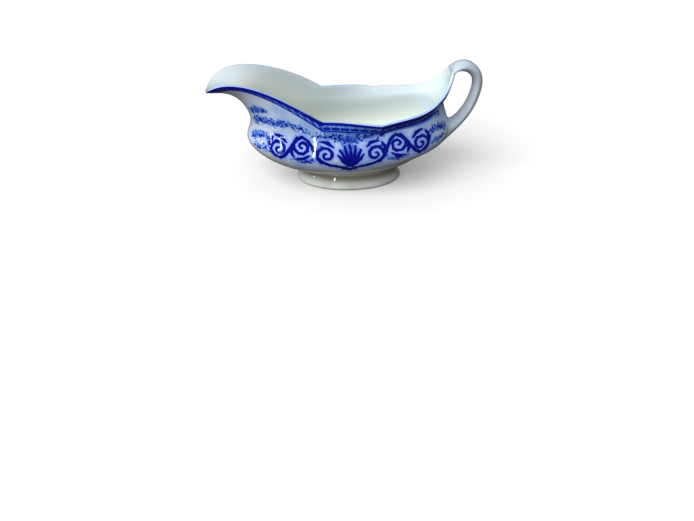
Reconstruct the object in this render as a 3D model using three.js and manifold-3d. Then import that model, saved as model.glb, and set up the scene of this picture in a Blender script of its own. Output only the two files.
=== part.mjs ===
// Gravy boat in glazed earthenware.
// An oval bowl whose rim sweeps up into a broad pouring lip at one end and into a pointed peak at
// the other, a loop handle springing from that peak, and a low flared pedestal foot.
// Millimetres, +Z up. X runs from the pouring lip (-X) to the handle (+X); the boat is the same on
// both sides of the XZ plane and stands on its foot at z = 0.
import * as THREE from 'three';
import { mergeVertices } from 'three/addons/utils/BufferGeometryUtils.js';
import ManifoldModule from 'manifold-3d';

// ---- driving dimensions ----
const WALL = 3.2;                 // thickness of the potted wall
const JOINT_GAP = 0.3;            // clearance kept between neighbouring pieces
const REAR_CUSP = 72;             // degrees round from the handle end to the rear cusp of the rim
const FRONT_CUSP = 104;           // degrees round from the handle end to the front cusp

// Rim of the outer face: one Bezier lobe from the handle peak to the rear cusp, one from cusp to
// cusp, one from the front cusp to the tip of the pouring lip. Each entry is [x, half width, z].
const REAR_LOBE = [[80.3, 0, 85.5], [80.3, 19.5, 85.5], [66.6, 20.5, 55.8], [56.1, 33.5, 65.5], [24.5, 38.7, 59]];
const SIDE_LOBE = [[24.5, 38.7, 59], [9, 41.2, 61.5], [-2.5, 35.7, 62.5], [-18.5, 35.5, 62.3]];
const LIP_LOBE = [[-18.5, 35.5, 62.3], [-48.5, 37.2, 80], [-90, 9.2, 99.5], [-102.5, 33.5, 74], [-102.5, 0, 74]];

// Level ovals of the outer face below the rim: front end x, rear end x, half width, height at the
// front, side and rear, and how much fuller than an ellipse the plan is.
const NECK = { front: -73, rear: 74.2, half: 37.2, z: [49.5, 49, 62], full: 0.07 };
const BELLY = { front: -76.5, rear: 80.2, half: 40.3, z: [38, 34.5, 38], full: 0.07 };
const UNDER_BELLY = { front: -66, rear: 66.7, half: 35.8, z: [24.5, 22.6, 27.6], full: 0.05 };
const KEEL = { front: -48.5, rear: 51.5, half: 28.2, z: [15.9, 15.7, 16.6], full: 0.02 };
const FOOT_SEAT = { front: -36, rear: 41, half: 22.5, z: [12.8, 12.8, 12.8], full: 0 };
const BASE_RING = { front: -17, rear: 22, half: 11.5, z: [12.0, 12.0, 12.0], full: 0 };
const BASE_CENTRE = [2.5, 0, 11.8];

// Two rings between the rim and the neck: shares of the way inward and of the way down, each at
// the front, side and rear. They hollow the underside of the pouring lip.
const THROAT = { inward: [0.50, 0.50, 0.41], down: [0.06, 0.30, 0.48] };
const GORGE = { inward: [0.86, 0.86, 0.86], down: [0.38, 0.62, 0.72] };

// Handle centre line in the XZ plane, with half thickness across the loop and half breadth in Y.
const HANDLE = [
  { at: [78.4, 82.4], thick: 3.7, broad: 9.2 },
  { at: [81.6, 86.2], thick: 3.8, broad: 8.0 },
  { at: [87.2, 88.2], thick: 3.9, broad: 7.0 },
  { at: [93.0, 86.0], thick: 3.8, broad: 6.5 },
  { at: [97.5, 80.5], thick: 3.8, broad: 6.2 },
  { at: [98.6, 73.5], thick: 3.8, broad: 6.0 },
  { at: [97.1, 64.5], thick: 3.8, broad: 6.0 },
  { at: [92.3, 53.0], thick: 3.9, broad: 6.2 },
  { at: [86.3, 45.3], thick: 4.3, broad: 6.8 },
  { at: [79.5, 39.2], thick: 5.2, broad: 8.2 },
  { at: [72.5, 33.6], thick: 6.4, broad: 10.0 },
];
const HANDLE_START_X = 77.6;      // the handle laps the lip of the rear peak no further in than this
const LUTE_SWELL = 1.5;           // how far the slip fillet stands proud of the handle at the wall
const LUTE_EDGE = 0.65;           // and where it ends on the handle

// Pedestal foot: closed section followed round the oval, as [offset outward from the seat oval, z].
const FOOT_OUTSIDE = [[0.2, 12.4], [-0.4, 9.6], [0.3, 6.4], [1.9, 4.1], [3.3, 2.7], [3.6, 1.5], [3.1, 0.4], [2.4, 0]];
const FOOT_INSIDE = [[-1.4, 0], [-2.0, 0.5], [-2.7, 2.4], [-4.1, 6], [-4.7, 12]];
// Slip bead where foot and bowl meet: two points under the bowl, then points beside the foot.
const BEAD_UNDER_BOWL = [[0.7, 0.33], [2.3, 0.36], [2.7, 1.0]];    // [outward from the seat, below the bowl]
const BEAD_BESIDE_FOOT = [[1.7, 11.5], [0.7, 10.8], [0.25, 10.9]];  // [outward from the seat oval, z]

// ---- small vector helpers ----
const mix = (a, b, t) => a.map((v, i) => v + (b[i] - v) * t);
const add = (a, b, s = 1) => a.map((v, i) => v + s * b[i]);
const sub = (a, b) => add(a, b, -1);
const length = (a) => Math.hypot(...a);
const unit = (a) => a.map((v) => v / length(a));
const cross = (a, b) => [a[1] * b[2] - a[2] * b[1], a[2] * b[0] - a[0] * b[2], a[0] * b[1] - a[1] * b[0]];
const radians = (d) => (d * Math.PI) / 180;
const steps = (n) => Array.from({ length: n + 1 }, (_, i) => i / n);

// Point of a Bezier curve of any degree.
function bezier(points, t) {
  let row = points;
  while (row.length > 1) row = row.slice(1).map((p, i) => mix(row[i], p, t));
  return row[0];
}

// Cubic spline through the points at the knots: natural ends, or a given slope at the start.
function spline(knots, points, startSlope = null) {
  const n = points.length - 1;
  const h = knots.slice(1).map((k, i) => k - knots[i]);
  const rise = (i) => sub(points[i + 1], points[i]).map((v) => v / h[i]);
  const zero = points[0].map(() => 0);
  const diagonal = [startSlope ? 2 * h[0] : 1];
  const upper = [startSlope ? h[0] : 0];
  const right = [startSlope ? sub(rise(0), startSlope).map((v) => 6 * v) : zero];
  for (let i = 1; i <= n; i++) {
    const last = i === n;
    const lower = last ? 0 : h[i - 1];
    const w = lower / diagonal[i - 1];
    diagonal[i] = (last ? 1 : 2 * (h[i - 1] + h[i])) - w * upper[i - 1];
    upper[i] = last ? 0 : h[i];
    right[i] = add(last ? zero : sub(rise(i), rise(i - 1)).map((v) => 6 * v), right[i - 1], -w);
  }
  const bend = [];
  for (let i = n; i >= 0; i--) {
    bend[i] = (i === n ? right[i] : add(right[i], bend[i + 1], -upper[i])).map((v) => v / diagonal[i]);
  }
  return (t) => {
    let i = 0;
    while (i < n - 1 && t > knots[i + 1]) i++;
    const b = (t - knots[i]) / h[i];
    const a = 1 - b;
    const q = (h[i] * h[i]) / 6;
    return points[i].map((p, k) => a * p + b * points[i + 1][k]
      + q * ((a ** 3 - a) * bend[i][k] + (b ** 3 - b) * bend[i + 1][k]));
  };
}

// ---- outer face of the bowl ----
function rim(phi) {
  const a = Math.abs(phi);
  const rear = radians(REAR_CUSP);
  const front = radians(FRONT_CUSP);
  let p;
  if (a <= rear) p = bezier(REAR_LOBE, a / rear);
  else if (a <= front) p = bezier(SIDE_LOBE, (a - rear) / (front - rear));
  else p = bezier(LIP_LOBE, (a - front) / (Math.PI - front));
  return [p[0], p[1] * Math.sign(phi), p[2]];
}

function oval(level, phi) {
  const c = Math.cos(phi);
  const [zFront, zSide, zRear] = level.z;
  return [
    (level.front + level.rear) / 2 + ((level.rear - level.front) / 2) * c,
    level.half * Math.sin(phi) * (1 + level.full * c * c),
    zSide + ((c > 0 ? zRear : zFront) - zSide) * c * c,
  ];
}

function share([front, side, rear], phi) {
  const c = Math.cos(phi);
  return side + (c > 0 ? (rear - side) * c ** 2 : (front - side) * Math.abs(c) ** 3);
}

function between(top, neck, ring, phi) {
  const p = mix(top, neck, share(ring.inward, phi));
  return [p[0], p[1], top[2] + (neck[2] - top[2]) * share(ring.down, phi)];
}

function controls(phi) {
  const top = rim(phi);
  const neck = oval(NECK, phi);
  return [top, between(top, neck, THROAT, phi), between(top, neck, GORGE, phi), neck,
    ...[BELLY, UNDER_BELLY, KEEL, FOOT_SEAT, BASE_RING].map((level) => oval(level, phi)), BASE_CENTRE];
}

// Knots of the meridian splines: measured on the two ends and the side, blended in between.
function chordKnots(phi) {
  const c = controls(phi);
  const knots = [0];
  for (let i = 1; i < c.length; i++) knots.push(knots[i - 1] + length(sub(c[i], c[i - 1])) ** 0.65);
  return knots.map((k) => k / knots[knots.length - 1]);
}
const REAR_KNOTS = chordKnots(0);
const SIDE_KNOTS = chordKnots(Math.PI / 2);
const FRONT_KNOTS = chordKnots(Math.PI);

const knotsAt = (phi) => mix(SIDE_KNOTS, Math.cos(phi) > 0 ? REAR_KNOTS : FRONT_KNOTS, Math.cos(phi) ** 2);

// Meridian from the rim (t = 0) to the middle of the base (t = 1).
function meridian(phi) {
  const c = Math.cos(phi);
  const knots = knotsAt(phi);
  const points = controls(phi);
  const chord = sub(points[1], points[0]);
  const lip = Math.max(-c, 0) ** 10;                    // the pouring lip leaves the rim level
  const way = unit(mix(unit(chord), [1, 0, -0.05], lip));
  return spline(knots, points, way.map((v) => (v * length(chord)) / knots[1]));
}

// The face as a table of points with outward normals, at given angles and meridian positions.
const STEP = 1e-3;
function face(phi) {
  const line = meridian(phi);
  const before = meridian(phi - STEP);
  const after = meridian(phi + STEP);
  const speed = length(sub(line(STEP), line(0))) / STEP;
  return {
    speed,
    at: (t) => line(t),
    normal: (t) => {
      if (t > 0.999) return [0, 0, -1];
      const down = sub(line(Math.min(t + STEP, 1)), line(Math.max(t - STEP, 0)));
      return unit(cross(sub(after(t), before(t)), down).map((v) => -v));
    },
  };
}

// ---- meshes from rings of points ----
function solidFromRings(rings, closed) {
  const positions = rings.flat(2);
  const n = rings[0].length;
  const index = [];
  const quad = (a, b, c, d) => index.push(a, b, c, a, c, d);
  const rows = closed ? rings.length : rings.length - 1;
  for (let r = 0; r < rows; r++) {
    const next = ((r + 1) % rings.length) * n;
    for (let k = 0; k < n; k++) quad(r * n + k, r * n + ((k + 1) % n), next + ((k + 1) % n), next + k);
  }
  if (!closed) {
    for (const [ring, flip] of [[0, true], [rings.length - 1, false]]) {
      const middle = positions.length / 3;
      const centre = rings[ring].reduce((s, p) => add(s, p), [0, 0, 0]).map((v) => v / n);
      positions.push(...centre);
      for (let k = 0; k < n; k++) {
        const a = ring * n + k;
        const b = ring * n + ((k + 1) % n);
        index.push(middle, flip ? b : a, flip ? a : b);
      }
    }
  }
  const geometry = new THREE.BufferGeometry();
  geometry.setAttribute('position', new THREE.BufferAttribute(new Float32Array(positions), 3));
  geometry.setIndex(index);
  return outward(tidy(geometry));
}

// Merge equal corners and drop triangles that have closed up.
function tidy(geometry) {
  const merged = mergeVertices(geometry, 1e-4);
  const old = merged.getIndex().array;
  const kept = [];
  for (let i = 0; i < old.length; i += 3) {
    const [a, b, c] = [old[i], old[i + 1], old[i + 2]];
    if (a !== b && b !== c && c !== a) kept.push(a, b, c);
  }
  merged.setIndex(kept);
  return merged;
}

// Turn the faces outward if the signed volume says they point in.
function outward(geometry) {
  const p = geometry.getAttribute('position');
  const index = Array.from(geometry.getIndex().array);
  let volume = 0;
  const corner = (i) => [p.getX(i), p.getY(i), p.getZ(i)];
  for (let i = 0; i < index.length; i += 3) {
    const [a, b, c] = [0, 1, 2].map((k) => corner(index[i + k]));
    volume += a[0] * cross(b, c)[0] + a[1] * cross(b, c)[1] + a[2] * cross(b, c)[2];
  }
  if (volume < 0) for (let i = 0; i < index.length; i += 3) [index[i], index[i + 1]] = [index[i + 1], index[i]];
  geometry.setIndex(index);
  return geometry;
}

// ---- booleans ----
const wasm = await ManifoldModule();
wasm.setup();
const toManifold = (geometry) => new wasm.Manifold(new wasm.Mesh({
  numProp: 3,
  vertProperties: new Float32Array(geometry.getAttribute('position').array),
  triVerts: new Uint32Array(geometry.getIndex().array),
}));
function toGeometry(manifold) {
  const mesh = manifold.getMesh();
  const geometry = new THREE.BufferGeometry();
  geometry.setAttribute('position', new THREE.BufferAttribute(new Float32Array(mesh.vertProperties), 3));
  geometry.setIndex(Array.from(mesh.triVerts));
  return geometry;
}

// ---- bowl ----
// Angles round the bowl: every 4 degrees, every 2 degrees round the tip of the pouring lip.
const AROUND = [];
for (let d = -180; d < 180; d += Math.abs(d) >= 160 ? 2 : 4) AROUND.push(radians(d));
const FACES = AROUND.map(face);
const LIP_ROUND = WALL / 2;

// One ring of the bowl: `run` is the distance from the rim edge while it is still on the rounded
// lip, then `t` takes over; `depth` is how far inside the outer face the ring lies.
const ringAt = (t, depth) => FACES.map((f) => add(f.at(t(f)), f.normal(t(f)), -depth));
const lipEnd = (f) => LIP_ROUND / f.speed;
const lipRing = (degrees, inner) => {
  const a = radians(degrees);
  const skin = LIP_ROUND * (1 - Math.sin(a));
  return ringAt((f) => (LIP_ROUND * (1 - Math.cos(a))) / f.speed, inner ? WALL - skin : skin);
};
const bodyRings = (count, depth) => steps(count).slice(1)
  .map((s) => ringAt((f) => lipEnd(f) + (1 - lipEnd(f)) * s, depth));
const bowlRings = [
  ...bodyRings(15, WALL).reverse(), ...[90, 45].map((d) => lipRing(d, true)),
  ...[0, 45, 90].map((d) => lipRing(d, false)), ...bodyRings(24, 0),
];
const bowl = solidFromRings(bowlRings, false);

// The space the bowl takes up, grown by the joint gap: used to trim the pieces luted onto it.
const grownRings = [
  ringAt((f) => 7 / f.speed, WALL + JOINT_GAP), ringAt(lipEnd, WALL + JOINT_GAP),
  ...[60, 30, 0, -30, -60].map((d) => {
    const a = radians(d);
    const r = LIP_ROUND + JOINT_GAP;
    return FACES.map((f) => {
      const t = lipEnd(f);
      const up = unit(sub(f.at(0), f.at(t)));
      const middle = add(f.at(t), f.normal(t), -LIP_ROUND);
      return add(add(middle, up, r * Math.cos(a)), f.normal(t), -r * Math.sin(a));
    });
  }),
  ringAt(lipEnd, -JOINT_GAP), ...bodyRings(24, -JOINT_GAP),
];
function lidded(rings) {
  // Close the top ring straight across from side to side instead of to a middle point.
  const n = rings[0].length;
  const positions = rings.flat(2);
  const index = [];
  for (let r = 0; r < rings.length - 1; r++) {
    for (let k = 0; k < n; k++) {
      const [a, b] = [r * n + k, r * n + ((k + 1) % n)];
      index.push(a, b, b + n, a, b + n, a + n);
    }
  }
  for (let k = 0; k < n / 2; k++) {
    const [a, b, c, d] = [k, (k + 1) % n, (n - k - 1) % n, (n - k) % n];
    index.push(b, a, c, a, d, c);
  }
  const geometry = new THREE.BufferGeometry();
  geometry.setAttribute('position', new THREE.BufferAttribute(new Float32Array(positions), 3));
  geometry.setIndex(index);
  return outward(tidy(geometry));
}
const bowlSpace = toManifold(lidded(grownRings));

// ---- handle ----
const handleKnots = [0];
for (let i = 1; i < HANDLE.length; i++) {
  handleKnots.push(handleKnots[i - 1] + length(sub(HANDLE[i].at, HANDLE[i - 1].at)));
}
const HANDLE_LENGTH = handleKnots[handleKnots.length - 1];
const handleLine = spline(handleKnots, HANDLE.map((h) => h.at));
const handleSize = spline(handleKnots, HANDLE.map((h) => [h.thick, h.broad]));

// Cross section of the handle at distance s along it, grown by g: an oval with a soft spine.
function handleSection(s, g, around) {
  const [x, z] = handleLine(s);
  const [ax, az] = unit(sub(handleLine(s + 0.1), handleLine(s - 0.1)));
  const [thick, broad] = handleSize(s).map((v) => v + g);
  return steps(around).slice(0, around).map((k) => {
    const a = 2 * Math.PI * k;
    const out = thick * Math.cos(a) * (1 - 0.10 * Math.sin(a) ** 2);
    return [x - az * out, broad * Math.sin(a), z + ax * out];
  });
}
const sweep = (from, to, count, grow, around) => solidFromRings(
  steps(count).map((k) => handleSection(from + (to - from) * k, grow(k), around)), false);
const block = (size, at) => {
  const g = new THREE.BoxGeometry(...size).translate(...at);
  return toManifold(mergeVertices(new THREE.BufferGeometry()
    .setAttribute('position', g.getAttribute('position')).setIndex(g.getIndex()), 1e-4));
};
const insidePeak = block([40, 60, 40], [HANDLE_START_X - 20, 0, 92]);
const handle = toManifold(sweep(0, HANDLE_LENGTH, 34, () => 0, 18)).subtract(bowlSpace).subtract(insidePeak);

// Slip fillets round the two ends of the handle.
const swell = (k) => LUTE_EDGE + (LUTE_SWELL - LUTE_EDGE) * (1 - k) ** 2;
const clearOfHandle = toManifold(sweep(0, HANDLE_LENGTH, 34, () => JOINT_GAP, 18));
const upperLute = toManifold(sweep(0.4, 5.2, 4, swell, 18))
  .subtract(clearOfHandle).subtract(bowlSpace).subtract(insidePeak);
const lowerLute = toManifold(sweep(HANDLE_LENGTH - 1, HANDLE_LENGTH - 14, 6, swell, 18))
  .subtract(clearOfHandle).subtract(bowlSpace);

// ---- foot ----
const SEAT_KNOT = 7;                // the foot seat among the controls of a meridian
const FOOT_ANGLES = steps(60).slice(0, 60).map((k) => 2 * Math.PI * k - Math.PI);
const footPoint = (phi, [out, z]) => add(oval(FOOT_SEAT, phi),
  [out * Math.cos(phi), out * Math.sin(phi), z - FOOT_SEAT.z[1]]);
const footRing = (corner) => FOOT_ANGLES.map((phi) => footPoint(phi, corner));
const foot = solidFromRings([...FOOT_OUTSIDE, ...FOOT_INSIDE].map(footRing), true);

// Slip bead round the joint between foot and bowl, hugging both.
const seatFaces = FOOT_ANGLES.map((phi) => {
  const f = face(phi);
  const seat = knotsAt(phi)[SEAT_KNOT];
  const pace = length(sub(f.at(seat + STEP), f.at(seat))) / STEP;
  return ([out, below]) => add(f.at(seat - out / pace), f.normal(seat - out / pace), below);
});
const footLute = solidFromRings([
  ...BEAD_UNDER_BOWL.map((corner) => seatFaces.map((f) => f(corner))), ...BEAD_BESIDE_FOOT.map(footRing)], true);

// Keep the largest piece of a cut; crumbs left by the trimming are not part of the pot.
function largest(manifold) {
  return manifold.decompose().sort((a, b) => b.volume() - a.volume())[0];
}

// ---- assembly ----
const group = new THREE.Group();
group.name = 'gravy_boat';
function part(name, geometry, colour, roughness) {
  const material = new THREE.MeshStandardMaterial({ color: colour, roughness, metalness: 0 });
  geometry.computeVertexNormals();
  const mesh = new THREE.Mesh(geometry, material);
  mesh.name = name;
  group.add(mesh);
}
part('bowl', bowl, 0xd9e2ea, 0.12);
part('foot', foot, 0xcdc9bf, 0.15);
part('handle', toGeometry(largest(handle)), 0xcfdae6, 0.12);
part('handle_upper_lute', toGeometry(largest(upperLute)), 0xd3dde8, 0.12);
part('handle_lower_lute', toGeometry(largest(lowerLute)), 0xc9d4e0, 0.12);
part('foot_lute', footLute, 0xd6d5cd, 0.15);

export default group;
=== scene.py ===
"""Looks of a blue-printed earthenware gravy boat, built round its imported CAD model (Blender 4.5).

The shapes repeat the CAD part's own construction at a finer step, in millimetres, and are scaled to
metres when the meshes are made. The underglaze print, a generic running scroll, is drawn by shader
nodes from two surface measures stored on the bowl: "ornament" (millimetres round the girth, and up
from the print's zero line) and "edge" (millimetres along the rim, and down from it).
"""
import math

import bmesh
import bpy
import numpy as np
from mathutils import Matrix, Quaternion, Vector
from mathutils.bvhtree import BVHTree


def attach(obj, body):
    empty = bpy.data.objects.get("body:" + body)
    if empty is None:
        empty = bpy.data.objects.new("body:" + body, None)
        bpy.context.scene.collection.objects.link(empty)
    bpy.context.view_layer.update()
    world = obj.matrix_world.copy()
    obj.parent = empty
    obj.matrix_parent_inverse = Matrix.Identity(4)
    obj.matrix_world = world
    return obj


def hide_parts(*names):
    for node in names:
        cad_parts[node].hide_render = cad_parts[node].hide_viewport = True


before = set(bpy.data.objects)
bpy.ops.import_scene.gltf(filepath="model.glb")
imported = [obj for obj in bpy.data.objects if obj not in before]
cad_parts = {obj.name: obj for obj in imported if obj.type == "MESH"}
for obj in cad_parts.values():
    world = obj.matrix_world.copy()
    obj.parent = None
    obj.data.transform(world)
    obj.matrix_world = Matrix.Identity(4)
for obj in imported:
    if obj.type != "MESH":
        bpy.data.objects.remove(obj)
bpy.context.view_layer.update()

MM = 0.001

# ---------------------------------------------------------------- dimensions, in millimetres
WALL, RIM_WALL = 3.2, 2.4                  # thickness of the body, and of its rim
RIM_THINS = 9.0                            # distance below the rim over which most of the change is made
REAR_CUSP, FRONT_CUSP = math.radians(72), math.radians(104)
REAR_LOBE = [[80.3, 0, 85.5], [80.3, 19.5, 85.5], [66.6, 20.5, 55.8], [56.1, 33.5, 65.5], [24.5, 38.7, 59]]
SIDE_LOBE = [[24.5, 38.7, 59], [9, 41.2, 61.5], [-2.5, 35.7, 62.5], [-18.5, 35.5, 62.3]]
LIP_LOBE = [[-18.5, 35.5, 62.3], [-48.5, 37.2, 80], [-90, 9.2, 99.5], [-102.5, 33.5, 74], [-102.5, 0, 74]]

# Level ovals: front x, rear x, half width, (z at front, side, rear), fullness.
NECK = (-73, 74.2, 37.2, (49.5, 49, 62), 0.07)
BELLY = (-76.5, 80.2, 40.3, (38, 34.5, 38), 0.07)
UNDER_BELLY = (-66, 66.7, 35.8, (24.5, 22.6, 27.6), 0.05)
KEEL = (-48.5, 51.5, 28.2, (15.9, 15.7, 16.6), 0.02)
FOOT_SEAT = (-36, 41, 22.5, (12.8, 12.8, 12.8), 0)
BASE_RING = (-17, 22, 11.5, (12.0, 12.0, 12.0), 0)
BASE_CENTRE = (2.5, 0, 11.8)
# Shares of the way in and of the way down, each at the front, side and rear.
THROAT = ((0.50, 0.50, 0.41), (0.06, 0.30, 0.48))
GORGE = ((0.86, 0.86, 0.86), (0.38, 0.62, 0.72))
PEAK_SHOULDER = 1.1                        # the rim is drawn up this much either side of the rear peak,
PEAK_SHOULDER_AT = (2, 7.5, 10.5, 19)      # between these half widths
PRINT_DATUM = (49.5, 45, 54)               # height of the print's zero line at the front, side and rear

# Handle centre line: x, z, half thickness, half breadth.
HANDLE = np.array([
    [78.3, 78.5, 1.1, 10.6], [78.7, 81.8, 1.15, 10.1], [79.15, 84.5, 1.4, 9.2], [80.4, 86.8, 2.1, 8.4],
    [83.2, 88.1, 3.1, 7.8], [87.4, 88.4, 3.8, 7.2], [93.0, 86.0, 3.8, 6.5],
    [97.5, 80.5, 3.8, 6.2], [98.6, 73.5, 3.8, 6.0], [97.1, 64.5, 3.8, 6.0], [92.3, 53.0, 3.9, 6.2],
    [86.3, 45.3, 4.3, 6.8], [79.5, 39.2, 5.2, 8.2], [72.5, 33.6, 6.4, 10.0]])

STRAP_LEAVES_RIM = (5, 17)                 # run along which the strap frees itself from the rim's curve

# Foot section: (outward from the seat oval, z), up the outside from the stand, then the inside.
FOOT_SECTION = [(2.4, 0), (3.1, 0.4), (3.6, 1.5), (3.3, 2.7), (1.9, 4.1), (0.3, 6.4), (-0.4, 9.6),
                (0.2, 13.1), (-4.7, 13.0), (-4.1, 6), (-2.7, 2.4), (-2.0, 0.5), (-1.4, 0)]
BEAD_AT = (0.75, 12.75)                    # middle of the slip bead: outward from the seat oval, z
BEAD_SIZE = (1.15, 0.95)                   # its half width and half height


# ---------------------------------------------------------------- curves and surfaces
def bezier(points, t):
    row = [np.array(p, float) for p in points]
    t = np.asarray(t, float)[:, None]
    while len(row) > 1:
        row = [a + (b - a) * t for a, b in zip(row, row[1:])]
    return np.broadcast_to(row[0], (len(t), 3))


class Spline:
    """Cubic splines through points (controls x columns x axes) at knots (controls x columns)."""

    def __init__(self, knots, points, start_slope=None):
        self.k, self.p = knots, points
        n = len(points) - 1
        self.h = h = np.diff(knots, axis=0)[..., None]
        rise = np.diff(points, axis=0) / h
        diagonal, upper, right = [], [], []
        if start_slope is None:
            first = (np.ones_like(h[0]), 0 * h[0], 0 * points[0])
        else:
            first = (2 * h[0], h[0], 6 * (rise[0] - start_slope))
        for row, value in zip((diagonal, upper, right), first):
            row.append(value)
        for i in range(1, n + 1):
            last = i == n
            w = (0 * h[0] if last else h[i - 1]) / diagonal[i - 1]
            diagonal.append((np.ones_like(h[0]) if last else 2 * (h[i - 1] + h[i])) - w * upper[i - 1])
            upper.append(0 * h[0] if last else h[i])
            right.append((0 * points[0] if last else 6 * (rise[i] - rise[i - 1])) - w * right[i - 1])
        bend = [None] * (n + 1)
        for i in range(n, -1, -1):
            bend[i] = (right[i] if i == n else right[i] - upper[i] * bend[i + 1]) / diagonal[i]
        self.bend = np.array(bend)

    def __call__(self, t):
        """Point of every column at its own t."""
        columns = np.arange(self.p.shape[1])
        t = np.broadcast_to(t, columns.shape)
        i = (t[None, :] > self.k[1:-1]).sum(0)
        h = self.h[i, columns]
        b = (t[:, None] - self.k[i, columns][:, None]) / h
        a = 1 - b
        bent = (a ** 3 - a) * self.bend[i, columns] + (b ** 3 - b) * self.bend[i + 1, columns]
        return a * self.p[i, columns] + b * self.p[i + 1, columns] + h * h / 6 * bent


def smooth(x):
    """Ease a share from 0 to 1."""
    return x ** 2 * (3 - 2 * x)


def rim(phi):
    a = np.abs(phi)
    rear, side, lip = a <= REAR_CUSP, (a > REAR_CUSP) & (a <= FRONT_CUSP), a > FRONT_CUSP
    p = np.empty((len(phi), 3))
    p[rear] = bezier(REAR_LOBE, a[rear] / REAR_CUSP)
    p[side] = bezier(SIDE_LOBE, (a[side] - REAR_CUSP) / (FRONT_CUSP - REAR_CUSP))
    p[lip] = bezier(LIP_LOBE, (a[lip] - FRONT_CUSP) / (math.pi - FRONT_CUSP))
    rise = np.interp(p[:, 1], PEAK_SHOULDER_AT, (0, 1, 1, 0)) * rear
    p[:, 2] += PEAK_SHOULDER * smooth(rise)
    p[:, 1] *= np.sign(phi)
    return p


def soft_rim(phi, spread=math.radians(1.3)):
    """The rim with its two cusps a little rounded, as glaze and sponging leave them."""
    def turned(share):
        return rim((phi + share * spread + math.pi) % (2 * math.pi) - math.pi)
    return sum(weight * turned(share) for share, weight in ((-1, .1), (-.5, .2), (0, .4), (.5, .2), (1, .1)))


def oval(level, phi):
    front, rear, half, (z_front, z_side, z_rear), full = level
    c = np.cos(phi)
    return np.stack([(front + rear) / 2 + (rear - front) / 2 * c, half * np.sin(phi) * (1 + full * c * c),
                     z_side + (np.where(c > 0, z_rear, z_front) - z_side) * c * c], 1)


def share(ends, phi):
    front, side, rear = ends
    c = np.cos(phi)
    return side + np.where(c > 0, (rear - side) * c ** 2, (front - side) * np.abs(c) ** 3)


def between(top, neck, ring, phi):
    inward, down = (share(ends, phi) for ends in ring)
    p = top + (neck - top) * inward[:, None]
    p[:, 2] = top[:, 2] + (neck[:, 2] - top[:, 2]) * down
    return p


def controls(phi):
    top, neck = soft_rim(phi), oval(NECK, phi)
    rings = [top, between(top, neck, THROAT, phi), between(top, neck, GORGE, phi), neck]
    rings += [oval(level, phi) for level in (BELLY, UNDER_BELLY, KEEL, FOOT_SEAT, BASE_RING)]
    return np.array(rings + [np.tile(BASE_CENTRE, (len(phi), 1))])


def chord_knots(angle):
    c = controls(np.array([angle]))[:, 0]
    k = np.concatenate([[0], np.cumsum(np.linalg.norm(np.diff(c, axis=0), axis=1) ** 0.65)])
    return k / k[-1]


REAR_KNOTS, SIDE_KNOTS, FRONT_KNOTS = (chord_knots(a) for a in (0.0, math.pi / 2, math.pi))


def knots_at(phi):
    c = np.cos(phi)
    ends = np.where(c > 0, REAR_KNOTS[:, None], FRONT_KNOTS[:, None])
    return SIDE_KNOTS[:, None] + (ends - SIDE_KNOTS[:, None]) * c * c


def meridians(phi):
    points, knots = controls(phi), knots_at(phi)
    chord = points[1] - points[0]
    reach = np.linalg.norm(chord, axis=1)[:, None]
    lip = np.maximum(-np.cos(phi), 0)[:, None] ** 10
    way = chord / reach * (1 - lip) + np.array([1, 0, -0.05]) * lip
    way /= np.linalg.norm(way, axis=1)[:, None]
    return Spline(knots, points, way * reach / knots[1][:, None])


class BowlFace:
    """The bowl's outer face at the given angles: points and outward normals along its meridians."""
    STEP = 1e-3

    def __init__(self, phi):
        self.phi, self.line = phi, meridians(phi)
        self.before, self.after = meridians(phi - self.STEP), meridians(phi + self.STEP)
        self.speed = np.linalg.norm(self.line(self.STEP) - self.line(0), axis=1) / self.STEP

    def normal(self, t):
        t = np.broadcast_to(t, self.phi.shape)
        down = self.line(np.minimum(t + self.STEP, 1)) - self.line(np.maximum(t - self.STEP, 0))
        n = -np.cross(self.after(t) - self.before(t), down)
        n[t > 0.999] = (0, 0, -1)
        return n / np.linalg.norm(n, axis=1)[:, None]

    def ring(self, t, depth):
        return self.line(t) - self.normal(t) * depth


# ---------------------------------------------------------------- mesh helpers
def mesh_object(name, vertices_mm, faces):
    mesh = bpy.data.meshes.new(name)
    mesh.from_pydata((np.asarray(vertices_mm) * MM).tolist(), [], faces)
    mesh.validate()
    mesh.polygons.foreach_set("use_smooth", [True] * len(mesh.polygons))
    piece = bpy.data.objects.new(name, mesh)
    bpy.context.scene.collection.objects.link(piece)
    return piece


def bm_normals(piece):
    bm = bmesh.new()
    bm.from_mesh(piece.data)
    bmesh.ops.recalc_face_normals(bm, faces=bm.faces)
    bm.to_mesh(piece.data)
    bm.free()


def quads(rows, around, close_rows=False):
    """Faces of a grid of rings; each ring is closed on itself."""
    faces = []
    for r in range(rows if close_rows else rows - 1):
        low, high = r * around, ((r + 1) % rows) * around
        for k in range(around):
            after = (k + 1) % around
            faces.append((low + k, low + after, high + after, high + k))
    return faces


def pole(ring_first, around, centre, flip):
    fan = [(ring_first + k, ring_first + (k + 1) % around, centre) for k in range(around)]
    return [f[::-1] for f in fan] if flip else fan


def capped(rows, around):
    """Faces of a grid of rings whose first and last are closed to two points that follow the grid's."""
    last = rows * around
    return quads(rows, around) + pole(0, around, last, True) + pole(last - around, around, last + 1, False)


def run_along(points):
    """Distance from the first point to each."""
    return np.concatenate([[0], np.cumsum(np.linalg.norm(np.diff(points, axis=0), axis=1))])


# ---------------------------------------------------------------- bowl
FAR_AWAY = 99.0                    # millimetres, farther than any stroke of the print reaches


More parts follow.
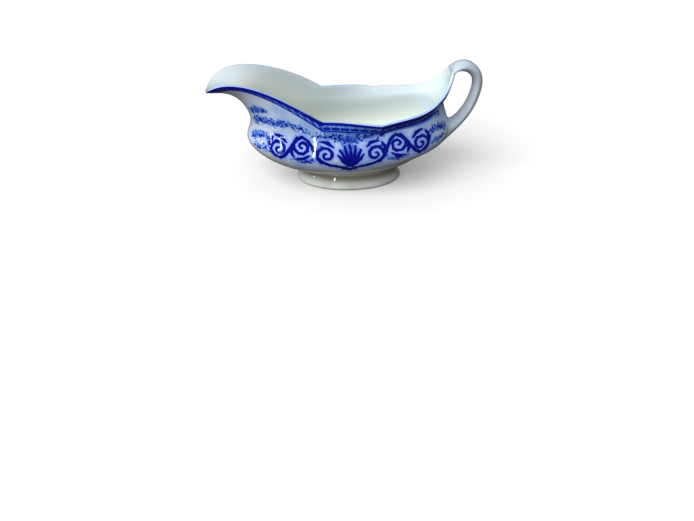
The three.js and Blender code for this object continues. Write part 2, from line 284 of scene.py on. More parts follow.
def measure_on(piece, name, across, along, at_poles):
    """Store a pair of measures on every point: one per column, one per point of the grid."""
    grid = np.stack([np.broadcast_to(across, along.shape), along, 0 * along], -1).reshape(-1, 3)
    values = np.concatenate([grid, [(0, pole_value, 0) for pole_value in at_poles]])
    layer = piece.data.attributes.new(name, "FLOAT_VECTOR", "POINT")
    layer.data.foreach_set("vector", np.asarray(values, np.float32).ravel())


def build_bowl(around=450, outer_rows=92, inner_rows=64, lip_rows=7):
    phi = np.radians(np.arange(around) * 360 / around - 180)
    face = BowlFace(phi)
    radius = RIM_WALL / 2
    lip_end = radius / face.speed
    rings = []

    def body(count, thinnest, thickest):
        for s in np.linspace(0, 1, count + 1)[1:-1]:
            t = lip_end + (1 - lip_end) * s
            thinning = np.exp(-(t - lip_end) * face.speed / RIM_THINS)[:, None]
            yield face.ring(t, thickest + (thinnest - thickest) * thinning)

    rings += list(body(inner_rows, RIM_WALL, WALL))[::-1]
    for a in np.radians(np.linspace(90, 0, lip_rows)):
        depth = RIM_WALL - radius * (1 - np.sin(a))
        rings.append(face.ring(radius * (1 - np.cos(a)) / face.speed, depth))
    apex = len(rings) - 1
    for a in np.radians(np.linspace(0, 90, lip_rows))[1:]:
        rings.append(face.ring(radius * (1 - np.cos(a)) / face.speed, radius * (1 - np.sin(a))))
    rings += list(body(outer_rows, 0, 0))

    rings = np.array(rings)
    rows = len(rings)
    paces = np.linalg.norm(np.diff(rings, axis=0), axis=2)
    run = np.concatenate([np.zeros((1, around)), np.cumsum(paces, 0)])
    down = run - run[apex]                     # along the section from the top of the lip
    rim_points = rings[apex]
    step = np.linalg.norm(np.roll(rim_points, -1, 0) - rim_points, axis=1)
    along_half = np.interp(np.abs(phi), *half_girth(phi, step))

    half_turn = np.linspace(0, math.pi, 721)
    girth = run_along(oval(NECK, half_turn))
    girth -= np.interp(math.pi / 2, half_turn, girth)
    around_neck = np.interp(np.abs(phi), half_turn, girth)
    # Distance down from the lip at which each column crosses the print's zero line.
    c = np.cos(phi)
    front, side, rear = PRINT_DATUM
    datum = side + (np.where(c > 0, rear, front) - side) * c * c
    outer = slice(apex + lip_rows, None)
    zero = np.array([np.interp(-datum[j], -rings[outer, j, 2], down[outer, j]) for j in range(around)])

    poles = [np.array(BASE_CENTRE) + (0, 0, WALL), np.array(BASE_CENTRE)]
    bowl = mesh_object("bowl_printed", np.concatenate([rings.reshape(-1, 3), poles]), capped(rows, around))
    measure_on(bowl, "ornament", around_neck, zero - down, (-FAR_AWAY, -FAR_AWAY))
    measure_on(bowl, "edge", along_half, down, (-FAR_AWAY, FAR_AWAY))
    return bowl, np.interp((REAR_CUSP, FRONT_CUSP), *half_girth(phi, step))


def half_girth(phi, step):
    """Angles from 0 to pi with the length of rim run from the handle end."""
    order = np.argsort(phi)
    half = [i for i in order if phi[i] >= -1e-9]
    run = np.concatenate([[0], np.cumsum(step[half])])
    return np.append(phi[half], math.pi), run


# ---------------------------------------------------------------- handle
handle_run = run_along(HANDLE[:, :2])
handle_spline = Spline(handle_run[:, None], HANDLE[:, None, :])


def handle_at(s):
    return np.array([handle_spline(v)[0] for v in np.atleast_1d(s)])


def build_handle(rows=150, around=56):
    s = np.linspace(0, handle_run[-1], rows)
    line, ahead, behind = handle_at(s), handle_at(s + 0.05), handle_at(s - 0.05)
    tangent = ahead[:, :2] - behind[:, :2]
    tangent /= np.linalg.norm(tangent, axis=1)[:, None]
    a = np.linspace(0, 2 * math.pi, around, endpoint=False)
    thick = np.outer(line[:, 2], np.cos(a) * (1 - 0.10 * np.sin(a) ** 2))
    side = np.outer(line[:, 3], np.sin(a))
    # Where it starts, the strap lies along the curve of the rim.
    lip = rim(np.radians(np.linspace(0, 60, 121)))
    held = smooth(np.interp(s, STRAP_LEAVES_RIM, (1, 0)))[:, None]
    back, drop = ((np.interp(np.abs(side), lip[:, 1], lip[:, k]) - lip[0, k]) * held for k in (0, 2))
    vertices = np.stack([line[:, :1] - tangent[:, 1:] * thick + back, side,
                         line[:, 1:2] + tangent[:, :1] * thick + drop], -1).reshape(-1, 3)
    ends = [[line[i, 0], 0, line[i, 1]] for i in (0, -1)]
    return mesh_object("handle_loop", np.concatenate([vertices, ends]), capped(rows, around))


# ---------------------------------------------------------------- foot
def seat_ring(phi, out, z):
    p = oval(FOOT_SEAT, phi)
    p[:, 0] += out * np.cos(phi)
    p[:, 1] += out * np.sin(phi)
    p[:, 2] = z
    return p


def smooth_closed(corners, rounds):
    """Corner-cut a closed outline into a smooth one."""
    p = np.array(corners, float)
    for _ in range(rounds):
        q = np.roll(p, -1, 0)
        p = np.stack([p * 0.75 + q * 0.25, p * 0.25 + q * 0.75], 1).reshape(-1, 2)
    return p


def build_foot(around=300):
    phi = np.linspace(-math.pi, math.pi, around, endpoint=False)
    section = smooth_closed(FOOT_SECTION, rounds=2)
    rings = np.array([seat_ring(phi, out, max(z, 0)) for out, z in section])
    return mesh_object("foot_ring", rings.reshape(-1, 3), quads(len(rings), around, close_rows=True))


def build_bead(around=300):
    phi = np.linspace(-math.pi, math.pi, around, endpoint=False)
    (out, z), (wide, tall) = BEAD_AT, BEAD_SIZE
    rings = np.array([seat_ring(phi, out + wide * math.cos(a), z + tall * math.sin(a))
                      for a in np.linspace(0, 2 * math.pi, 14, endpoint=False)])
    return mesh_object("foot_bead", rings.reshape(-1, 3), quads(len(rings), around, close_rows=True))


# ---------------------------------------------------------------- luted joints
REACH = 4.5                        # how far the clay worked round the handle's joints runs from the corner
CORNER = 1.0                       # the same at the sharp corner where the handle leaves the rim's outer face
UPPER_JOINT = 70                   # the upper joint's faces lie above this height
FREE_ABOVE, FREE_BELOW = 84.5, 84  # the handle stands free over the first height, and under the second
FREE_BEYOND = 79.5                 # where it is also this far back
BOWL_MEETS, HANDLE_MEETS = 55, 95  # only the bowl behind the first x and the handle ahead of the second meet
LEAST_TURN = math.radians(6)       # two faces are taken to turn by at least this much


def co_normal(piece):
    n = len(piece.data.vertices)
    co, no = np.empty(n * 3), np.empty(n * 3)
    piece.data.vertices.foreach_get("co", co)
    piece.data.vertices.foreach_get("normal", no)
    return co.reshape(-1, 3) / MM, no.reshape(-1, 3)


def distance_to(tree, points, normals, reach):
    """Signed distance in millimetres, positive outside, and the angle by which the nearest face turns
    from each point's own normal; far points get the reach."""
    found, turn = np.full(len(points), float(reach)), np.zeros(len(points))
    for i, p in enumerate(points):
        spot, normal, _, far = tree.find_nearest(Vector(p), reach)
        if spot is not None:
            found[i] = far if (Vector(p) - spot).dot(normal) > 0 else -far
            turn[i] = normal.dot(Vector(normals[i]))
    return found, np.arccos(np.clip(turn, 0, math.cos(LEAST_TURN)))


def tree_of(piece, keep=lambda centre: True):
    co, _ = co_normal(piece)
    faces = [tuple(f.vertices) for f in piece.data.polygons if keep(f.center / MM)]
    return BVHTree.FromPolygons([tuple(c) for c in co], faces)


def out_of_wall(centre):
    """The handle's faces that stand clear of the wall: above the rim, or beyond the belly."""
    return centre[2] > FREE_ABOVE or (centre[0] > FREE_BEYOND and centre[2] < FREE_BELOW)


def fillet_lift(away, turn, reach):
    """Height of a round hollow over one of the two faces it joins, at a distance from their corner.

    A little beyond the hollow's middle the face dives, to pass under the other one.
    """
    radius = reach / np.tan(turn / 2)
    middle = 0.75 * reach * (1 - np.cos(turn / 2))
    held = np.clip(away, middle, reach)
    lift = radius - np.sqrt(radius ** 2 - (reach - held) ** 2)
    return np.where(away < middle, lift * np.clip((away / middle + 1) / 2, 0, 1), lift)


def work_joint(piece, other_tree, near):
    """Lift a piece's face where it comes close to the other, so that the two meet in a round hollow."""
    co, no = co_normal(piece)
    pick = np.nonzero(near(co))[0]
    x, turn = distance_to(other_tree, co[pick], no[pick], REACH)
    outward = np.clip((no[pick, 0] + 0.3) / 0.7, 0, 1) * (co[pick, 2] > UPPER_JOINT)
    reach = REACH + (CORNER - REACH) * outward
    co[pick] += no[pick] * fillet_lift(x / np.sin(turn), turn, reach)[:, None]
    piece.data.vertices.foreach_set("co", (co * MM).ravel())
    piece.data.update()


bowl, RIM_RUNS = build_bowl()
handle = build_handle()
bm_normals(bowl)
bm_normals(handle)
bowl_tree, handle_tree = tree_of(bowl), tree_of(handle, out_of_wall)
work_joint(bowl, handle_tree, lambda co: co[:, 0] > BOWL_MEETS)
work_joint(handle, bowl_tree, lambda co: co[:, 0] < HANDLE_MEETS)
foot = build_foot()
bead = build_bead()
for piece, slot, nodes in ((bowl, "printed_glaze", ("bowl",)),
                           (handle, "handle_glaze", ("handle", "handle_upper_lute", "handle_lower_lute")),
                           (foot, "foot_glaze", ("foot",)), (bead, "foot_glaze", ("foot_lute",))):
    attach(piece, "root")
    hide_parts(*nodes)
    bm_normals(piece)


# ---------------------------------------------------------------- shader helpers
class Nodes:
    """Short calls that add nodes to a tree; inputs are sockets or constants."""

    def __init__(self, tree):
        self.tree = tree

    def add(self, kind, inputs=(), out=0, **settings):
        node = self.tree.nodes.new(kind)
        for key, value in settings.items():
            setattr(node, key, value)
        for key, value in (inputs.items() if isinstance(inputs, dict) else enumerate(inputs)):
            if isinstance(value, bpy.types.NodeSocket):
                self.tree.links.new(value, node.inputs[key])
            elif value is not None:
                node.inputs[key].default_value = value
        return node if out is None else node.outputs[out]

    def math(self, operation, *inputs, clamp=False):
        return self.add("ShaderNodeMath", inputs, operation=operation, use_clamp=clamp)

    def vector(self, operation, *inputs, out=0):
        return self.add("ShaderNodeVectorMath", inputs, out, operation=operation)

    def scale(self, vector, factor):
        return self.add("ShaderNodeVectorMath", {0: vector, 3: factor}, operation="SCALE")

    def split(self, vector):
        node = self.tree.nodes.new("ShaderNodeSeparateXYZ")
        self.tree.links.new(vector, node.inputs[0])
        return node.outputs

    def xyz(self, *inputs):
        return self.add("ShaderNodeCombineXYZ", inputs)

    def ramp(self, value, low, high, to_low=0.0, to_high=1.0, smooth=True):
        return self.add("ShaderNodeMapRange", [value, low, high, to_low, to_high],
                        interpolation_type="SMOOTHSTEP" if smooth else "LINEAR")

    def band(self, value, low, high, soft):
        """1 between low and high, with soft edges."""
        return self.math("MULTIPLY", self.ramp(value, low - soft, low + soft),
                         self.ramp(value, high - soft, high + soft, 1.0, 0.0))

    def noise(self, vector, scale, detail=2.0, roughness=0.5):
        return self.add("ShaderNodeTexNoise", {"Vector": vector, "Scale": scale, "Detail": detail,
                                               "Roughness": roughness})

    def mix(self, factor, a, b):
        node = self.tree.nodes.new("ShaderNodeMix")
        node.data_type = "RGBA"
        for key, value in (("Factor", factor), ("A", a), ("B", b)):
            socket = [s for s in node.inputs if s.name == key and s.enabled][0]
            if isinstance(value, bpy.types.NodeSocket):
                self.tree.links.new(value, socket)
            else:
                socket.default_value = value
        return [s for s in node.outputs if s.enabled][0]


def srgb(r, g, b):
    """Linear colour of a display colour given in 0 to 255."""
    shares = [v / 255 for v in (r, g, b)]
    return (*[c / 12.92 if c <= 0.04045 else ((c + 0.055) / 1.055) ** 2.4 for c in shares], 1.0)


def brush_group():
    """One step of a brush stroke: the nearer of a distance and that to a tapered line of ink.

    Every number that depends on the stroke alone comes in ready made, so that nothing waits in the
    shader's small working store.
    """
    tree = bpy.data.node_groups.new("brush", "ShaderNodeTree")
    for name, kind in (("Spot", "Vector"), ("Near", "Float"), ("Start", "Vector"), ("Way", "Vector"),
                       ("Unit", "Vector"), ("Offset", "Float"), ("Width", "Float"), ("Taper", "Float")):
        tree.interface.new_socket(name, in_out="INPUT", socket_type="NodeSocket" + kind)
    tree.interface.new_socket("Near", in_out="OUTPUT", socket_type="NodeSocketFloat")
    n = Nodes(tree)
    given = tree.nodes.new("NodeGroupInput").outputs
    along = n.vector("DOT_PRODUCT", given["Spot"], given["Unit"], out=1)
    share = n.math("SUBTRACT", along, given["Offset"], clamp=True)
    nearest = n.vector("ADD", n.scale(given["Way"], share), given["Start"])
    gap = n.vector("DISTANCE", given["Spot"], nearest, out=1)
    edge = n.math("SUBTRACT", n.math("MULTIPLY_ADD", share, given["Taper"], gap), given["Width"])
    tree.links.new(n.math("MINIMUM", given["Near"], edge), tree.nodes.new("NodeGroupOutput").inputs[0])
    return tree


def stroke_points(points, step):
    """Points along a smooth curve through (u, v, half width) points, closer together where it bends."""
    p = np.array(points, float)
    if len(p) < 3:
        return p
    run = run_along(p[:, :2])
    curve = Spline(run[:, None], p[:, None, :])
    out = [p[0]]
    for i in range(len(p) - 1):
        pieces = max(1, round((run[i + 1] - run[i]) / step))
        out += [curve(run[i] + (run[i + 1] - run[i]) * k / pieces)[0] for k in range(1, pieces + 1)]
    return np.array(out)


def ink_distance(n, brush, spot, strokes, step):
    """Signed distance in millimetres from a spot to the nearest edge of the strokes."""
    near = FAR_AWAY
    for stroke in strokes:
        points = stroke_points(stroke, step)
        for a, b in zip(points, points[1:]):
            near = brush_step(n, brush, spot, near, a, b)
    return near


def brush_step(n, brush, spot, near, start, end):
    a, way = np.append(start[:2], 0.0), np.append((end - start)[:2], 0.0)
    unit = way / way.dot(way)
    given = {"Spot": spot, "Near": near, "Start": tuple(a), "Way": tuple(way), "Unit": tuple(unit),
             "Offset": a.dot(unit), "Width": start[2], "Taper": start[2] - end[2]}
    return n.add("ShaderNodeGroup", given, node_tree=brush)


def spiral(centre, inner, outer, start, sweep, width, steps):
    """Points of a volute from its eye outwards; angles in degrees, counterclockwise positive."""
    points = []
    for k in range(steps + 1):
        s = k / steps
        a, r = math.radians(start + sweep * s), inner + (outer - inner) * s
        points.append((centre[0] + r * math.cos(a), centre[1] + r * math.sin(a), width * (0.75 + 0.35 * s)))
    return points


# ---------------------------------------------------------------- the print, in millimetres
# A plain running scroll on either side of a palmette: a waving stem, a volute in each of its arcs, and
# leaves. A stroke is a list of (round, up, half width).
STEM_MIDDLE, STEM_SWAY = -5.0, 9.5        # mean height of the waving stem, and its sway to either side
ARC, ARCS = 17.0, 3                       # length of one arc of the stem, and arcs on each side
VOLUTE = 7.2                              # outer radius of a volute; it starts on the stem
LEAVES = [[(-5.0, 6.0, 0.6), (-1.5, 8.8, 1.2), (4.0, 9.6, 0.5)],       # beside a volute, from its middle
          [(6.5, 1.0, 0.5), (7.5, 5.0, 1.2), (6.0, 8.0, 0.5)]]
PALMETTE_FOOT, PETAL, PETALS = -18.0, 18.5, 7


def mirrored(strokes):
    """The strokes, and the same on the other side of the palmette."""
    return [[(side * u, v, w) for u, v, w in stroke] for side in (1, -1) for stroke in strokes]


def running_scroll():
    stem = [(2.5, -17.6, 0.8), (10.0, -16.4, 1.1)]
    stem += [(ARC + quarter * ARC / 4, STEM_MIDDLE - STEM_SWAY * math.cos(math.pi * quarter / 4), 1.05)
             for quarter in range(4 * ARCS - 1)]
    strokes = [stem]
    for arc in range(ARCS):
        up = 1 if arc % 2 == 0 else -1                 # the stem passes under every other volute
        u, v = ARC * (arc + 1), STEM_MIDDLE - up * (STEM_SWAY - VOLUTE)
        strokes.append(spiral((u, v), 1.0, VOLUTE, up * 440, up * -500, 0.95, 12))
        for leaf in LEAVES:
            strokes.append([(u + out, v + up * rise, width) for out, rise, width in leaf])
    return mirrored(strokes)


def palmette():
    petals = []
    for k in range(PETALS):
        lean = k - (PETALS - 1) / 2
        a, tall = math.radians(90 - 13 * lean), PETAL - 0.5 * lean * lean
        petals.append([(share * tall * math.cos(a), PALMETTE_FOOT + share * tall * math.sin(a), width)
                       for share, width in ((0.12, 0.5), (0.62, 1.1), (1.0, 0.6))])
    return petals + [[(5.0, -18.9, 0.9), (0.0, -19.9, 1.5), (-5.0, -18.9, 0.9)]]


SCROLLS = running_scroll() + palmette()
WASH = [[(0.0, -5.0, 6.4), (0.0, -15.0, 2.8)]]         # lighter blue behind the petals
# Sprays of small leaves follow these lines (round, up, reach to either side).
SPRAYS = mirrored([
    [(24.0, 6.0, 2.0), (14.0, 6.6, 2.6), (4.0, 5.4, 3.6), (-1.0, 5.2, 3.8)],
    [(22.0, -1.0, 1.2), (27.0, -12.5, 1.8), (34.0, -14.0, 2.2), (41.0, -12.5, 1.6)],
    [(30.0, 9.0, 1.8), (38.0, 12.0, 2.4), (46.0, 13.0, 2.6), (55.0, 11.0, 2.8), (64.0, 11.0, 3.0),
     (73.0, 8.0, 2.6)],
    [(58.0, 20.0, 1.6), (66.0, 19.0, 3.0), (74.0, 15.0, 2.2)],
    [(60.0, -3.0, 1.2), (64.0, -1.0, 2.4), (70.0, -2.0, 2.8), (76.0, -5.0, 2.6)],
    [(59.0, -11.0, 1.2), (64.0, -10.0, 2.0), (71.0, -11.0, 1.8)],
])


GLAZE_WAVE = 0.5                          # depth of the glaze's slow waves, in millimetres


def ceramic(name, colour_of, roughness=0.03):
    """Glazed earthenware: colour from a function of the nodes, under a clear, slightly uneven glaze."""
    material = bpy.data.materials.new(name)
    material.use_nodes = True
    tree = material.node_tree
    tree.nodes.clear()
    n = Nodes(tree)
    place = n.add("ShaderNodeTexCoord", out="Object")
    shader = tree.nodes.new("ShaderNodeBsdfPrincipled")
    tree.links.new(colour_of(n, place), shader.inputs["Base Color"])
    sheen_spots = n.noise(place, 90, 3, 0.6)
    tree.links.new(n.ramp(sheen_spots, 0.3, 0.7, roughness, roughness * 2.2), shader.inputs["Roughness"])
    waves = n.math("ADD", n.noise(place, 45, 2, 0.4), n.math("MULTIPLY", n.noise(place, 420, 2, 0.5), 0.10))
    bumps = n.add("ShaderNodeBump", {"Strength": 0.35, "Distance": GLAZE_WAVE * MM, "Height": waves})
    tree.links.new(bumps, shader.inputs["Normal"])
    shader.inputs["IOR"].default_value = 1.5
    shader.inputs["Coat Weight"].default_value = 0.25
    shader.inputs["Coat Roughness"].default_value = 0.03
    shader.inputs["Coat IOR"].default_value = 1.52
    tree.links.new(bumps, shader.inputs["Coat Normal"])
    out = tree.nodes.new("ShaderNodeOutputMaterial")
    tree.links.new(shader.outputs[0], out.inputs["Surface"])
    return material


WHITE, HALO = srgb(207, 219, 226), srgb(112, 130, 238)
PALE, MID, DEEP = srgb(124, 164, 222), srgb(20, 60, 182), (0.0, 0.003, 0.27, 1.0)


def rim_band(n, edge):
    """Ink of the printed band under the rim, 0 to 1: three lobes that break at the cusps."""
    run, down, _ = n.split(edge)
    rear_cusp, front_cusp = RIM_RUNS
    spout = n.ramp(run, front_cusp - 0.6, front_cusp + 0.6)
    rear = n.ramp(run, rear_cusp - 0.6, rear_cusp + 0.6, 1.0, 0.0)
    middle = n.math("SUBTRACT", n.math("SUBTRACT", 1.0, spout), rear, clamp=True)

    def dashes(period, share, shift=0.0):
        phase = n.math("FRACT", n.math("MULTIPLY_ADD", run, 1 / period, shift))
        from_middle = n.math("ABSOLUTE", n.math("SUBTRACT", phase, 0.5))
        return n.ramp(from_middle, share / 2 - 0.05, share / 2 + 0.05, 1.0, 0.0)

    def sum_of(*parts):
        total = parts[0]
        for part in parts[1:]:
            total = n.math("ADD", total, part)
        return total

    def times(a, b):
        return n.math("MULTIPLY", a, b)

    mid_ink = sum_of(times(n.band(down, 0.9, 9.4, 0.3), 0.52), times(n.band(down, 0.9, 2.7, 0.3), 0.4),
                     times(times(n.band(down, 3.5, 4.3, 0.3), dashes(7.0, 0.7)), -0.2),
                     times(times(n.band(down, 4.9, 6.3, 0.3), dashes(7.0, 0.78, 0.4)), 0.42),
                     times(n.band(down, 7.2, 7.9, 0.25), 0.34), times(n.band(down, 8.2, 9.0, 0.3), -0.2))
    lean = n.math("FRACT", n.math("MULTIPLY", n.math("MULTIPLY_ADD", down, 0.9, run), 1 / 6.5))
    lozenge = n.ramp(n.math("ABSOLUTE", n.math("SUBTRACT", lean, 0.5)), 0.16, 0.30, 1.0, 0.0)
    toward_tip = n.ramp(run, front_cusp + 20, front_cusp + 75)
    spout_ink = sum_of(times(n.ramp(down, 7.6, 10.2, 1.0, 0.0), 0.62),
                       times(n.band(down, 0.9, 4.1, 0.35), 0.5),
                       times(times(n.band(down, 4.3, 7.0, 0.4), lozenge),
                             n.math("MULTIPLY_ADD", toward_tip, 0.24, -0.3)),
                       times(n.band(down, 7.4, 8.4, 0.3), 0.36), times(toward_tip, 0.1))
    deep = times(down, n.ramp(run, 25, 70, 0.66, 1.0))       # the band grows deeper toward the handle
    rear_ink = sum_of(times(n.ramp(deep, 7.6, 11.4, 1.0, 0.0), 0.66),
                      times(n.band(deep, 0.9, 4.3, 0.3), 0.35),
                      times(times(n.band(deep, 4.6, 5.4, 0.3), dashes(6.0, 0.7)), -0.26),
                      times(times(n.band(deep, 5.6, 6.5, 0.25), dashes(6.0, 0.7, 0.5)), 0.3),
                      times(n.band(deep, 7.4, 8.2, 0.2), 0.25))
    ink = sum_of(times(middle, mid_ink), times(spout, spout_ink), times(rear, rear_ink))
    inked = times(n.ramp(deep, 0.3, 0.9), n.ramp(deep, 9.8, 11.8, 1.0, 0.0))
    clear_of_handle = n.ramp(run, 4, 6)
    return times(times(ink, inked), clear_of_handle)


def printed_colour(n, place):
    ornament = n.add("ShaderNodeAttribute", out="Vector", attribute_name="ornament")
    edge = n.add("ShaderNodeAttribute", out="Vector", attribute_name="edge")
    brush = brush_group()
    # The outlines waver a little. No colour is turned into a vector on the way, or the shader needs too
    # much store.
    waver = n.xyz(*[n.math("MULTIPLY_ADD", n.noise(place, scale, 1), 1.3, -0.65) for scale in (330, 290)])
    spot = n.vector("MULTIPLY", n.vector("ADD", ornament, waver), (1.0, 1.0, 0.0))
    across, up, _ = n.split(ornament)

    scroll = ink_distance(n, brush, spot, SCROLLS, step=3.6)
    halo = n.ramp(scroll, 0.0, 3.6, 0.62, 0.0)
    wash = n.ramp(ink_distance(n, brush, spot, WASH, step=2.6), -0.8, 0.8, 0.45, 0.0)
    strong = n.math("MAXIMUM", n.ramp(scroll, -0.35, 0.75, 1.0, 0.0), wash)

    spray = ink_distance(n, brush, spot, SPRAYS, step=6)
    spray = n.math("ADD", spray, n.ramp(n.noise(spot, 0.45, 2, 0.6), 0.3, 0.7, -1.6, 1.8))
    where = n.ramp(spray, -1.0, 0.8, 1.0, 0.0)
    leaf = n.add("ShaderNodeTexVoronoi", {"Vector": spot, "Scale": 0.62, "Randomness": 1.0}, None)
    blot = n.ramp(leaf.outputs["Distance"], 0.40, 0.74, 1.0, 0.0)
    tone = n.ramp(n.split(leaf.outputs["Color"])[0], 0.15, 0.85, 0.45, 0.9)
    leaves = n.math("MULTIPLY", n.math("MULTIPLY", blot, tone), where)
    bloom = n.ramp(spray, -2.2, 3.2, 0.38, 0.0)
    thicket = n.math("MULTIPLY", n.band(across, -7.0, 7.0, 3.0), n.band(up, -2.5, 6.0, 3.0))
    bloom = n.math("ADD", bloom, n.math("MULTIPLY", thicket, 0.16))
    ink = n.math("MAXIMUM", strong, n.math("MAXIMUM", leaves, bloom))
    beside = n.math("SUBTRACT", 1.0, strong)
    ink = n.math("ADD", ink, n.math("MULTIPLY", n.math("MULTIPLY", leaves, 0.25), beside))

    # Pale cobalt has flowed into the glaze round the whole print.
    cloud = n.ramp(n.noise(place, 60, 2, 0.5), 0.3, 0.75, 0.06, 0.22)
    flow = n.math("MULTIPLY", n.ramp(up, -34, -13), cloud)
    flow = n.math("MULTIPLY", flow, n.ramp(across, 44, 60, 1.0, 0.3))
    ink = n.math("MAXIMUM", ink, flow)
    ink = n.math("MAXIMUM", ink, rim_band(n, edge))
    patchy = n.ramp(n.noise(place, 700, 3, 0.65), 0.3, 0.7, 0.86, 1.06)
    run, down, _ = n.split(edge)
    outside = n.ramp(down, 0.3, 0.9)
    ink = n.math("MULTIPLY", n.math("MULTIPLY", ink, patchy), outside, clamp=True)
    lip_tint = n.math("MULTIPLY", n.band(down, -1.2, 0.6, 0.5), n.ramp(run, 6, 26))
    ink = n.math("MAXIMUM", ink, n.math("MULTIPLY", lip_tint, 0.15))

    # Inside, the glaze is warmer and lighter deep in the bowl and darker blue-grey up toward the rim, partly
    # its own tone and partly painted shade under the throat, and a paler blue toward the handle, which is
    # painted light.
    # painted shade: the inside darkens toward the rim
    depth = n.ramp(down, -34, -6, 1.0, 0.0)
    inside_shade_and_light = n.mix(depth, srgb(197, 206, 209), srgb(221, 226, 219))
    # painted light: the inside turns a paler blue toward the handle
    inside_shade_and_light = n.mix(n.ramp(n.split(place)[0], 48 * MM, 78 * MM), inside_shade_and_light, srgb(214, 226, 232))
    warm = n.mix(n.ramp(n.noise(place, 26, 3, 0.55), 0.35, 0.7), WHITE, srgb(210, 214, 222))
    glaze = n.mix(outside, inside_shade_and_light, warm)
    glaze = n.mix(n.math("MULTIPLY", halo, outside), glaze, HALO)
    colour = n.mix(n.ramp(ink, 0.0, 0.3, smooth=False), glaze, PALE)
    colour = n.mix(n.ramp(ink, 0.3, 0.6, smooth=False), colour, MID)
    return n.mix(n.ramp(ink, 0.6, 0.9, smooth=False), colour, DEEP)


def plain_colour(light, dark, hollow=None, touch=None):
    """Mottled glaze; optionally painted shade, a darker olive band in the hollow of the foot, and a touch of
    blue.
    """
    def colour_of(n, place):
        along, across, height = n.split(place)
        mottled = n.ramp(n.noise(place, 40, 3, 0.6), 0.32, 0.72)
        colour = n.mix(mottled, light, dark)
        if hollow:
            # painted shade: a darker olive band round the foot's hollow, 6.5 to 11.5 mm up
            colour = n.mix(n.band(height, 6.5 * MM, 11.5 * MM, 3.0 * MM), colour, hollow)
        if touch:                                  # brushed along the top of the handle
            stroke = n.math("MULTIPLY", n.band(across, -0.7 * MM, 5.0 * MM, 0.5 * MM),
                            n.band(along, 88.5 * MM, 94.5 * MM, 1.5 * MM))
            stroke = n.math("MULTIPLY", stroke, n.ramp(height, 84 * MM, 86 * MM))
            colour = n.mix(n.math("MULTIPLY", stroke, 0.8), colour, touch)
        return colour
    return colour_of


handle_colour = plain_colour(srgb(192, 201, 209), srgb(181, 192, 202), touch=srgb(64, 86, 132))
# The foot's third colour is painted shade for its hollow under the bowl.
foot_colour = plain_colour(srgb(206, 210, 206), srgb(190, 193, 188), hollow=srgb(146, 142, 124))
bowl.data.materials.append(ceramic("printed_earthenware", printed_colour))
handle.data.materials.append(ceramic("handle_glaze", handle_colour))
foot.data.materials.append(ceramic("foot_glaze", foot_colour, roughness=0.05))
bead.data.materials.append(foot.data.materials[0])

# ---------------------------------------------------------------- stage, lights, camera
CAMERA_AT = (-0.0204, -0.4070, 0.2294)
CAMERA_HEADING, CAMERA_PITCH = math.radians(3.0), math.radians(38.1)
CAMERA_LENS, CAMERA_SENSOR = 29.05, 36.0


def build_stage():
    bpy.ops.mesh.primitive_plane_add(size=8, location=(0, 0, -0.0002))
    floor = bpy.context.object
    floor.name = "floor"
    m = bpy.data.materials.new("floor")
    m.use_nodes = True
    paper = m.node_tree.nodes["Principled BSDF"].inputs
    paper["Base Color"].default_value = (.67, .66, .645, 1)
    paper["Roughness"].default_value = 0.8
    paper["Specular IOR Level"].default_value = 0.0
    paper["Emission Color"].default_value = (1, 1, 1, 1)
    paper["Emission Strength"].default_value = 0.22
    floor.data.materials.append(m)
    # The floor's light doesn't climb the object.
    floor.visible_diffuse = floor.visible_glossy = False
    world = bpy.data.worlds.new("studio")
    bpy.context.scene.world = world
    world.use_nodes = True
    n = Nodes(world.node_tree)
    height = n.split(n.add("ShaderNodeTexCoord", out="Generated"))[2]
    sky = n.mix(n.ramp(height, 0.0, 0.8), (0.30, 0.30, 0.31, 1), (0.76, 0.79, 0.82, 1))
    sky = n.mix(n.ramp(height, -0.6, 0.05), (0.16, 0.125, 0.11, 1), sky)
    background = world.node_tree.nodes["Background"]
    seen = n.add("ShaderNodeLightPath", out="Is Camera Ray")
    world.node_tree.links.new(n.mix(seen, sky, (1.4, 1.4, 1.4, 1)), background.inputs["Color"])
    background.inputs["Strength"].default_value = 0.75


def toward(azimuth, elevation, distance=1.0):
    a, e = math.radians(azimuth), math.radians(elevation)
    return Vector((math.cos(a) * math.cos(e), math.sin(a) * math.cos(e), math.sin(e))) * distance


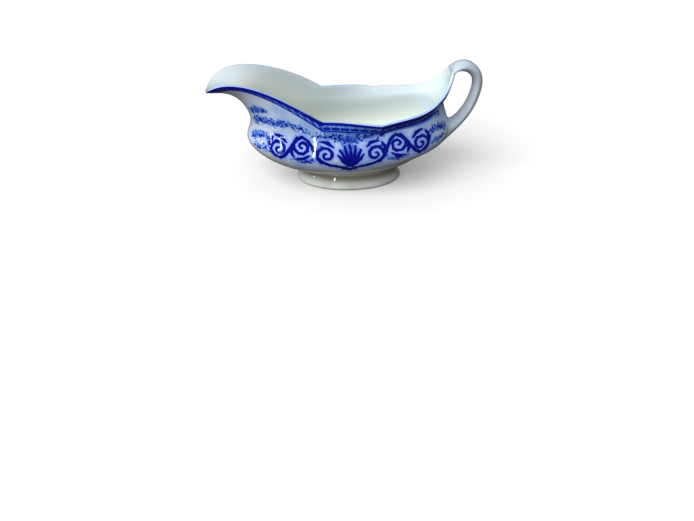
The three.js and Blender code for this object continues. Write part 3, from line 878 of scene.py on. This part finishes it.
def place_light(name, kind, at, aim, power, roll=0.0, **settings):
    light = bpy.data.lights.new(name, kind)
    light.energy = power
    for key, value in settings.items():
        setattr(light, key, value)
    o = bpy.data.objects.new(name, light)
    o.location = at
    o.rotation_mode = "QUATERNION"
    o.rotation_quaternion = ((Vector(aim) - Vector(at)).to_track_quat("-Z", "Y")
                             @ Quaternion((0, 0, 1), math.radians(roll)))
    bpy.context.scene.collection.objects.link(o)
    return o


def build_lights():
    middle = Vector((0, 0, 0.05))
    for name, azimuth, elevation, power, spread in (("key", -131, 41, 3.1, 60), ("fill", 176, 38, 0.45, 50)):
        sun = place_light(name, "SUN", middle + toward(azimuth, elevation, 2), middle, power,
                          angle=math.radians(spread))
        sun.visible_glossy = False
    # Narrow panes draw the highlights in the glaze: two windows and a door left ajar.
    for name, azimuth, elevation, width, tall, roll, radiance in (
            ("window_far", -153, -4, 0.016, 0.31, -14, 34),
            ("window_far_head", -153, -15, 0.09, 0.014, 0, 34),
            ("window", -139.5, -2, 0.013, 0.29, -15, 36), ("window_head", -138.5, -12, 0.09, 0.014, 0, 36),
            ("door", -109, -8, 0.019, 0.42, 0, 50)):
        power = radiance * math.pi * width * tall
        pane = place_light(name, "AREA", middle + toward(azimuth, elevation), middle, power, roll,
                           shape="RECTANGLE", size=width, size_y=tall)
        pane.visible_camera = False


def build_camera():
    data = bpy.data.cameras.new("camera")
    data.lens, data.sensor_width = CAMERA_LENS, CAMERA_SENSOR
    data.clip_start, data.clip_end = 0.01, 20
    camera = bpy.data.objects.new("camera", data)
    h, p = CAMERA_HEADING, CAMERA_PITCH
    forward = Vector((math.sin(h) * math.cos(p), math.cos(h) * math.cos(p), -math.sin(p)))
    right = Vector((math.cos(h), -math.sin(h), 0))
    up = right.cross(forward)
    turned = Matrix((right, up, -forward)).transposed().to_4x4()
    camera.matrix_world = Matrix.Translation(CAMERA_AT) @ turned
    bpy.context.scene.collection.objects.link(camera)
    bpy.context.scene.camera = camera


build_stage()
build_lights()
build_camera()
bpy.context.scene.view_settings.view_transform = "Standard"
bpy.context.scene.view_settings.gamma = 0.8

bpy.context.view_layer.update()
